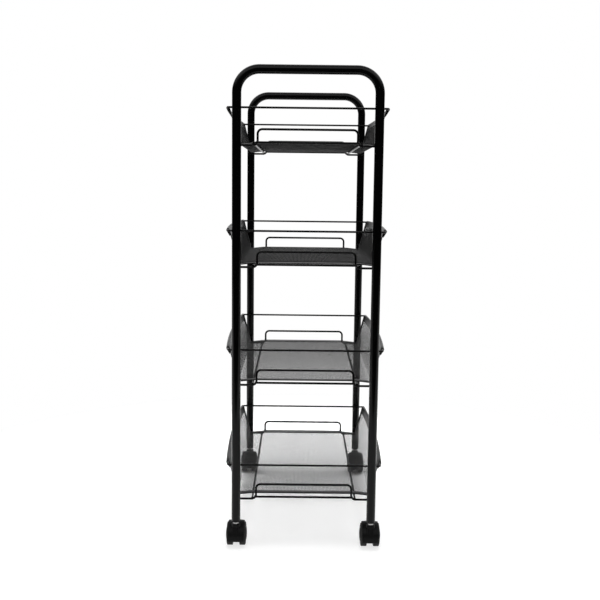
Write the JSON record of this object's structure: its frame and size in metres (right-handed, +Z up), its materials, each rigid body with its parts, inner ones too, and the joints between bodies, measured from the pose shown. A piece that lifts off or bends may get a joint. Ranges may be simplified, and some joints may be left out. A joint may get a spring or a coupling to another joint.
{
  "type": "wire shelf cart",
  "caption": "Slim rolling storage cart: bent steel tube hoops carry open-ended black wire mesh baskets on swivelling twin-wheel casters.",
  "frame": {"origin": "on the floor, under the middle of the cart", "axes": "+Z up, Y along the baskets from the front hoop at -Y to the rear hoop at +Y, X across"},
  "size_m": [0.2954, 0.4634, 0.857],
  "materials": {
    "tube_coat": "gloss black powder coat on steel tube",
    "wire_coat": "gloss black powder coat on steel wire",
    "mesh_coat": "satin black powder coat on fine woven steel mesh",
    "black_screw": "black oxide screw",
    "caster_plastic": "moulded black, fine grain",
    "wheel_plastic": "moulded black, light floor dust on the tread",
    "zinc_plate": "bright zinc plating"
  },
  "bodies": {
    "frame_and_baskets": {"hoop_front": "tube_coat", "hoop_rear": "tube_coat", "leg_socket_front_left": "caster_plastic", "caster_front_left_stem": "zinc_plate", "leg_socket_front_right": "caster_plastic", "caster_front_right_stem": "zinc_plate", "leg_socket_rear_left": "caster_plastic", "caster_rear_left_stem": "zinc_plate", "leg_socket_rear_right": "caster_plastic", "caster_rear_right_stem": "zinc_plate", "basket_1_mesh_tray": "mesh_coat", "basket_1_rim_wire": "wire_coat", "basket_1_floor_frame": "wire_coat", "basket_1_screw_front_left": "black_screw", "basket_1_screw_front_right": "black_screw", "basket_1_screw_rear_left": "black_screw", "basket_1_screw_rear_right": "black_screw", "basket_2_mesh_tray": "mesh_coat", "basket_2_rim_wire": "wire_coat", "basket_2_floor_frame": "wire_coat", "basket_2_screw_front_left": "black_screw", "basket_2_screw_front_right": "black_screw", "basket_2_screw_rear_left": "black_screw", "basket_2_screw_rear_right": "black_screw", "basket_3_mesh_tray": "mesh_coat", "basket_3_rim_wire": "wire_coat", "basket_3_floor_frame": "wire_coat", "basket_3_screw_front_left": "black_screw", "basket_3_screw_front_right": "black_screw", "basket_3_screw_rear_left": "black_screw", "basket_3_screw_rear_right": "black_screw", "basket_4_mesh_tray": "mesh_coat", "basket_4_rim_wire": "wire_coat", "basket_4_floor_frame": "wire_coat", "basket_4_screw_front_left": "black_screw", "basket_4_screw_front_right": "black_screw", "basket_4_screw_rear_left": "black_screw", "basket_4_screw_rear_right": "black_screw"},
    "swivel_front_left": {"caster_front_left_housing": "caster_plastic", "caster_front_left_axle": "zinc_plate"},
    "swivel_front_right": {"caster_front_right_housing": "caster_plastic", "caster_front_right_axle": "zinc_plate"},
    "swivel_rear_left": {"caster_rear_left_housing": "caster_plastic", "caster_rear_left_axle": "zinc_plate"},
    "swivel_rear_right": {"caster_rear_right_housing": "caster_plastic", "caster_rear_right_axle": "zinc_plate"},
    "wheel_front_left_left": {"caster_front_left_wheel_left": "wheel_plastic"},
    "wheel_front_left_right": {"caster_front_left_wheel_right": "wheel_plastic"},
    "wheel_front_right_left": {"caster_front_right_wheel_left": "wheel_plastic"},
    "wheel_front_right_right": {"caster_front_right_wheel_right": "wheel_plastic"},
    "wheel_rear_left_left": {"caster_rear_left_wheel_left": "wheel_plastic"},
    "wheel_rear_left_right": {"caster_rear_left_wheel_right": "wheel_plastic"},
    "wheel_rear_right_left": {"caster_rear_right_wheel_left": "wheel_plastic"},
    "wheel_rear_right_right": {"caster_rear_right_wheel_right": "wheel_plastic"}
  },
  "joints": [
    {"name": "caster_front_left_swivel", "type": "hinge", "parent": "frame_and_baskets", "child": "swivel_front_left", "pos_m": [-0.122, -0.223, 0.0456], "axis": [0, 0, 1], "continuous": true},
    {"name": "caster_front_right_swivel", "type": "hinge", "parent": "frame_and_baskets", "child": "swivel_front_right", "pos_m": [0.122, -0.223, 0.0456], "axis": [0, 0, 1], "continuous": true},
    {"name": "caster_rear_left_swivel", "type": "hinge", "parent": "frame_and_baskets", "child": "swivel_rear_left", "pos_m": [-0.122, 0.223, 0.0456], "axis": [0, 0, 1], "continuous": true},
    {"name": "caster_rear_right_swivel", "type": "hinge", "parent": "frame_and_baskets", "child": "swivel_rear_right", "pos_m": [0.122, 0.223, 0.0456], "axis": [0, 0, 1], "continuous": true},
    {"name": "caster_front_left_wheel_left_spin", "type": "hinge", "parent": "swivel_front_left", "child": "wheel_front_left_left", "pos_m": [-0.1332, -0.2075, 0.021], "axis": [1, 0, 0], "continuous": true},
    {"name": "caster_front_left_wheel_right_spin", "type": "hinge", "parent": "swivel_front_left", "child": "wheel_front_left_right", "pos_m": [-0.1108, -0.2075, 0.021], "axis": [1, 0, 0], "continuous": true},
    {"name": "caster_front_right_wheel_left_spin", "type": "hinge", "parent": "swivel_front_right", "child": "wheel_front_right_left", "pos_m": [0.1108, -0.2075, 0.021], "axis": [1, 0, 0], "continuous": true},
    {"name": "caster_front_right_wheel_right_spin", "type": "hinge", "parent": "swivel_front_right", "child": "wheel_front_right_right", "pos_m": [0.1332, -0.2075, 0.021], "axis": [1, 0, 0], "continuous": true},
    {"name": "caster_rear_left_wheel_left_spin", "type": "hinge", "parent": "swivel_rear_left", "child": "wheel_rear_left_left", "pos_m": [-0.1332, 0.2075, 0.021], "axis": [1, 0, 0], "continuous": true},
    {"name": "caster_rear_left_wheel_right_spin", "type": "hinge", "parent": "swivel_rear_left", "child": "wheel_rear_left_right", "pos_m": [-0.1108, 0.2075, 0.021], "axis": [1, 0, 0], "continuous": true},
    {"name": "caster_rear_right_wheel_left_spin", "type": "hinge", "parent": "swivel_rear_right", "child": "wheel_rear_right_left", "pos_m": [0.1108, 0.2075, 0.021], "axis": [1, 0, 0], "continuous": true},
    {"name": "caster_rear_right_wheel_right_spin", "type": "hinge", "parent": "swivel_rear_right", "child": "wheel_rear_right_right", "pos_m": [0.1332, 0.2075, 0.021], "axis": [1, 0, 0], "continuous": true}
  ]
}
